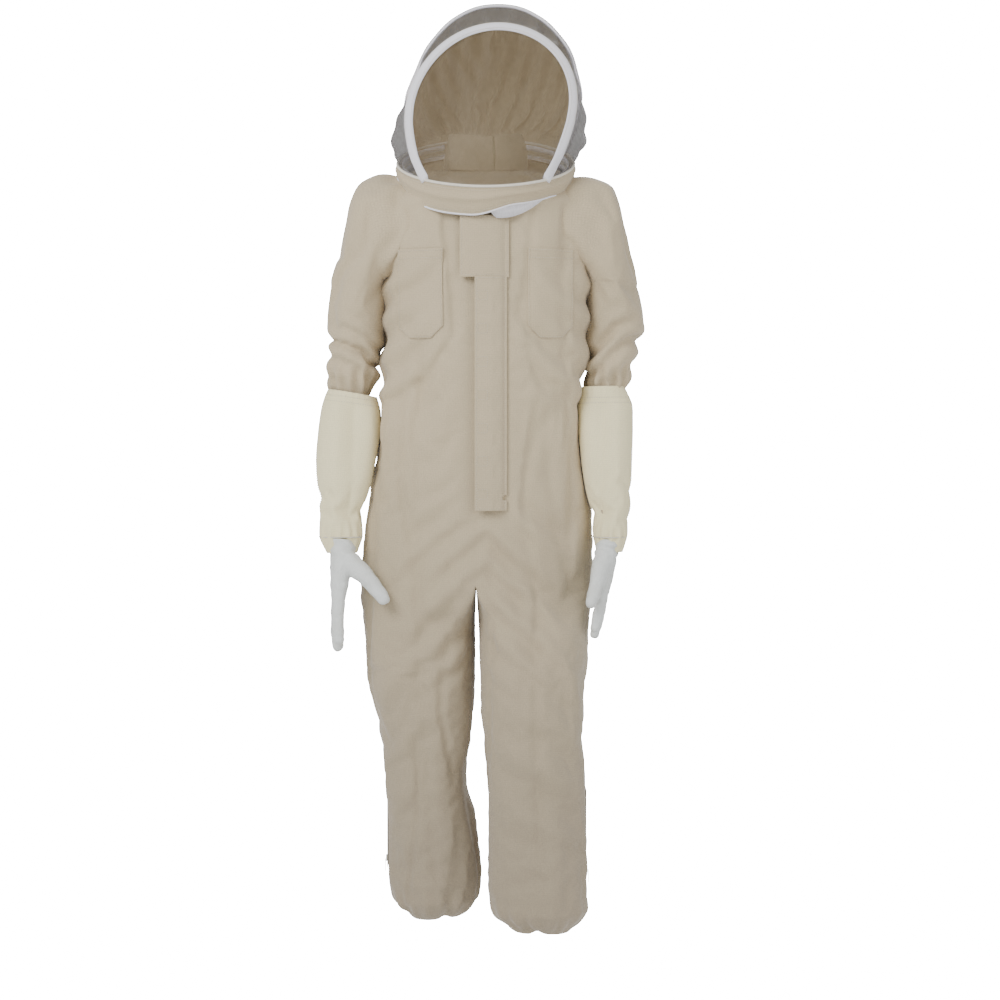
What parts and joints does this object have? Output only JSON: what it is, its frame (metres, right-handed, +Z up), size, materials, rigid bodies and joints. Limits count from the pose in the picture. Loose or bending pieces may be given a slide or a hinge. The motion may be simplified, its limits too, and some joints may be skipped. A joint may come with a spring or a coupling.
{
  "type": "beekeeping suit",
  "caption": "Full-body zipped beekeeping coverall in worn shape, with a round-zipped hooped mesh veil hood, chest pockets, elasticated cuffs and long gauntlet gloves.",
  "frame": {"origin": "on the plane of the trouser cuffs' lower edges, midway between the legs and under the neck, which is the bottom centre of the part's box to within 4 mm", "axes": "+Z up, the wearer faces -Y, and the wearer's left is +X"},
  "size_m": [0.618, 0.3525, 1.808],
  "materials": {
    "khaki_cloth": "plain-weave polycotton, matte",
    "piping_cream": "woven cotton piping",
    "hoop_binding": "smooth white binding tape",
    "veil_mesh": "black knitted net, see-through",
    "hoop_cane": "extruded plastic cane",
    "zip_tape": "woven tape",
    "zip_teeth": "moulded teeth",
    "zip_metal": "cast, plated",
    "hook_and_loop": "hook-and-loop tape",
    "elastic": "braided elastic",
    "gauntlet_canvas": "cotton canvas",
    "glove_leather": "soft white hide"
  },
  "bodies": {
    "coverall": {"front_panel_left": "khaki_cloth", "front_panel_right": "khaki_cloth", "back_panel": "khaki_cloth", "back_yoke": "khaki_cloth", "seat_front_left": "khaki_cloth", "seat_front_right": "khaki_cloth", "seat_back": "khaki_cloth", "waist_elastic": "elastic", "neck_yoke": "khaki_cloth", "stand_collar": "khaki_cloth", "hang_loop": "piping_cream", "front_zip_tapes": "zip_tape", "front_zip_teeth": "zip_teeth", "front_zip_bottom_stop": "zip_metal", "neck_zip_lower_tape": "zip_tape", "neck_zip_lower_teeth": "zip_teeth", "chest_pocket_left": "khaki_cloth", "chest_pocket_right": "khaki_cloth", "throat_loop_patch": "hook_and_loop"},
    "hood": {"veil_window_mesh": "veil_mesh", "veil_crown_mesh": "veil_mesh", "hood_back_panel": "khaki_cloth", "hood_skirt": "khaki_cloth", "hood_skirt_piping": "piping_cream", "front_hoop_cane": "hoop_cane", "front_hoop_binding": "hoop_binding", "rear_hoop_cane": "hoop_cane", "rear_hoop_binding": "hoop_binding", "neck_zip_upper_tape": "zip_tape", "neck_zip_upper_teeth": "zip_teeth"},
    "front_zip_runner": {"front_zip_slider": "zip_metal"},
    "placket": {"storm_placket": "khaki_cloth", "placket_hook_tape": "hook_and_loop"},
    "throat": {"throat_flap": "khaki_cloth", "throat_hook_patch": "hook_and_loop"},
    "arm_left": {"upper_sleeve_left": "khaki_cloth"},
    "forearm_left": {"lower_sleeve_left": "khaki_cloth", "sleeve_cuff_elastic_left": "elastic"},
    "glove_left": {"gauntlet_left": "gauntlet_canvas", "wrist_elastic_left": "elastic", "glove_hand_left": "glove_leather"},
    "thigh_left": {"upper_leg_left": "khaki_cloth"},
    "shin_left": {"lower_leg_left": "khaki_cloth", "ankle_elastic_left": "elastic", "ankle_zip_left": "zip_tape"},
    "ankle_runner_left": {"ankle_zip_slider_left": "zip_metal"},
    "neck_runner_left": {"neck_zip_slider_left": "zip_metal"},
    "arm_right": {"upper_sleeve_right": "khaki_cloth"},
    "forearm_right": {"lower_sleeve_right": "khaki_cloth", "sleeve_cuff_elastic_right": "elastic"},
    "glove_right": {"gauntlet_right": "gauntlet_canvas", "wrist_elastic_right": "elastic", "glove_hand_right": "glove_leather"},
    "thigh_right": {"upper_leg_right": "khaki_cloth"},
    "shin_right": {"lower_leg_right": "khaki_cloth", "ankle_elastic_right": "elastic", "ankle_zip_right": "zip_tape"},
    "ankle_runner_right": {"ankle_zip_slider_right": "zip_metal"},
    "neck_runner_right": {"neck_zip_slider_right": "zip_metal"}
  },
  "joints": [
    {"name": "hood_tilt", "type": "hinge", "parent": "coverall", "child": "hood", "pos_m": [0, 0.1342, 1.5171], "axis": [-1, 0, 0], "range_deg": [0, 100]},
    {"name": "front_zip_slide", "type": "slide", "parent": "coverall", "child": "front_zip_runner", "axis": [0, 0, -1], "range_m": [0, 0.47]},
    {"name": "placket_open", "type": "hinge", "parent": "coverall", "child": "placket", "pos_m": [0.042, -0.133, 1.03], "axis": [0, 0, 1], "range_deg": [0, 90]},
    {"name": "throat_flap_open", "type": "hinge", "parent": "coverall", "child": "throat", "pos_m": [0.042, -0.133, 1.29], "axis": [0, 0, 1], "range_deg": [0, 90]},
    {"name": "neck_zip_left", "type": "hinge", "parent": "coverall", "child": "neck_runner_left", "pos_m": [0, -0.012, 1.452], "axis": [0, -0.4067, 0.9136], "range_deg": [0, 124]},
    {"name": "shoulder_left", "type": "hinge", "parent": "coverall", "child": "arm_left", "pos_m": [0.2, 0, 1.335], "axis": [-1, 0, 0], "range_deg": [-25, 110]},
    {"name": "elbow_left", "type": "hinge", "parent": "arm_left", "child": "forearm_left", "pos_m": [0.255, 0, 1.105], "axis": [-1, 0, 0], "range_deg": [0, 90]},
    {"name": "glove_pull_left", "type": "slide", "parent": "forearm_left", "child": "glove_left", "axis": [0.0261, -0.1633, -0.9862], "range_m": [0, 0.3], "stiffness_N_per_m": 15, "springref_m": -0.0778},
    {"name": "hip_left", "type": "hinge", "parent": "coverall", "child": "thigh_left", "pos_m": [0.111, 0, 0.835], "axis": [-1, 0, 0], "range_deg": [-15, 30]},
    {"name": "knee_left", "type": "hinge", "parent": "thigh_left", "child": "shin_left", "pos_m": [0.104, -0.073, 0.415], "axis": [1, 0, 0], "range_deg": [0, 75]},
    {"name": "ankle_zip_slide_left", "type": "slide", "parent": "shin_left", "child": "ankle_runner_left", "axis": [0, 0, 1], "range_m": [0, 0.138]},
    {"name": "neck_zip_right", "type": "hinge", "parent": "coverall", "child": "neck_runner_right", "pos_m": [0, -0.012, 1.452], "axis": [0, 0.4067, -0.9136], "range_deg": [0, 124]},
    {"name": "shoulder_right", "type": "hinge", "parent": "coverall", "child": "arm_right", "pos_m": [-0.2, 0, 1.335], "axis": [-1, 0, 0], "range_deg": [-25, 110]},
    {"name": "elbow_right", "type": "hinge", "parent": "arm_right", "child": "forearm_right", "pos_m": [-0.255, 0, 1.105], "axis": [-1, 0, 0], "range_deg": [0, 90]},
    {"name": "glove_pull_right", "type": "slide", "parent": "forearm_right", "child": "glove_right", "axis": [-0.0261, -0.1633, -0.9862], "range_m": [0, 0.3], "stiffness_N_per_m": 15, "springref_m": -0.0778},
    {"name": "hip_right", "type": "hinge", "parent": "coverall", "child": "thigh_right", "pos_m": [-0.111, 0, 0.835], "axis": [-1, 0, 0], "range_deg": [-15, 30]},
    {"name": "knee_right", "type": "hinge", "parent": "thigh_right", "child": "shin_right", "pos_m": [-0.104, -0.001, 0.415], "axis": [1, 0, 0], "range_deg": [0, 75]},
    {"name": "ankle_zip_slide_right", "type": "slide", "parent": "shin_right", "child": "ankle_runner_right", "axis": [0, 0, 1], "range_m": [0, 0.138]}
  ]
}
